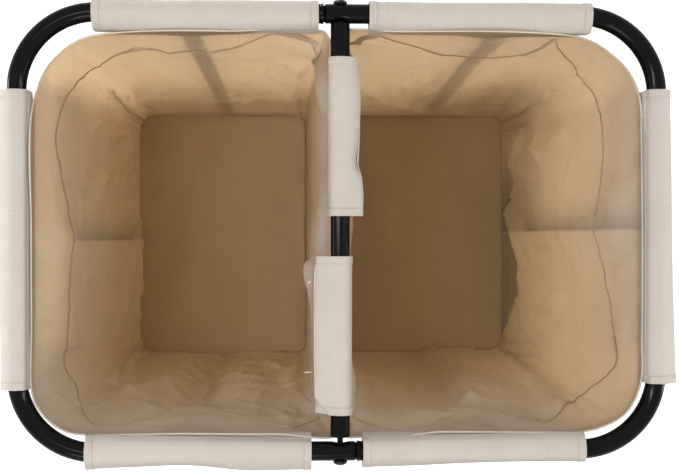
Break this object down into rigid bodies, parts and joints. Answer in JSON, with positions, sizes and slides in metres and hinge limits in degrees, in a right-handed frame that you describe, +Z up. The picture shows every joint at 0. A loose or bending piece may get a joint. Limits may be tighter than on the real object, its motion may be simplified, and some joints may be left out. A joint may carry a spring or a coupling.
{
  "type": "laundry hamper",
  "caption": "Laundry hamper with two tapered cream fabric bins hung side by side by sleeves from a black tube ring on U-shaped leg frames.",
  "frame": {"origin": "on the floor, under the middle of the hamper", "axes": "+X to the hamper's right, +Y to its back, +Z up"},
  "size_m": [0.66, 0.4553, 0.6792],
  "materials": {
    "frame_tube": "black powder coat, satin gloss",
    "bolt": "black oxide",
    "insert": "moulded nylon",
    "glide": "moulded, matt",
    "bin_cloth": "thin woven polyester, slightly see-through",
    "sleeve_cloth": "linen look weave",
    "board": "stiff board covered with the bin's cloth"
  },
  "bodies": {
    "root": {"ring_half_left": "frame_tube", "ring_half_right": "frame_tube", "leg_frame_left": "frame_tube", "leg_frame_right": "frame_tube", "divider_bar": "frame_tube", "stretcher_bar": "frame_tube", "divider_insert_back": "insert", "divider_insert_front": "insert", "stretcher_insert_left": "insert", "stretcher_insert_right": "insert", "divider_bolt_back": "bolt", "divider_bolt_front": "bolt", "stretcher_bolt_left": "bolt", "stretcher_bolt_right": "bolt", "leg_bolt_back_left": "bolt", "leg_bolt_back_right": "bolt", "leg_bolt_front_left": "bolt", "leg_bolt_front_right": "bolt", "floor_glide_back_left": "glide", "floor_glide_back_right": "glide", "floor_glide_front_left": "glide", "floor_glide_front_right": "glide", "bag_left": "bin_cloth", "bag_right": "bin_cloth", "base_board_left": "board", "base_board_right": "board", "sleeve_back_left": "sleeve_cloth", "sleeve_back_right": "sleeve_cloth", "sleeve_front_left": "sleeve_cloth", "sleeve_front_right": "sleeve_cloth", "sleeve_end_left": "sleeve_cloth", "sleeve_end_right": "sleeve_cloth", "sleeve_divider_back": "sleeve_cloth", "sleeve_divider_front": "sleeve_cloth"}
  },
  "joints": []
}
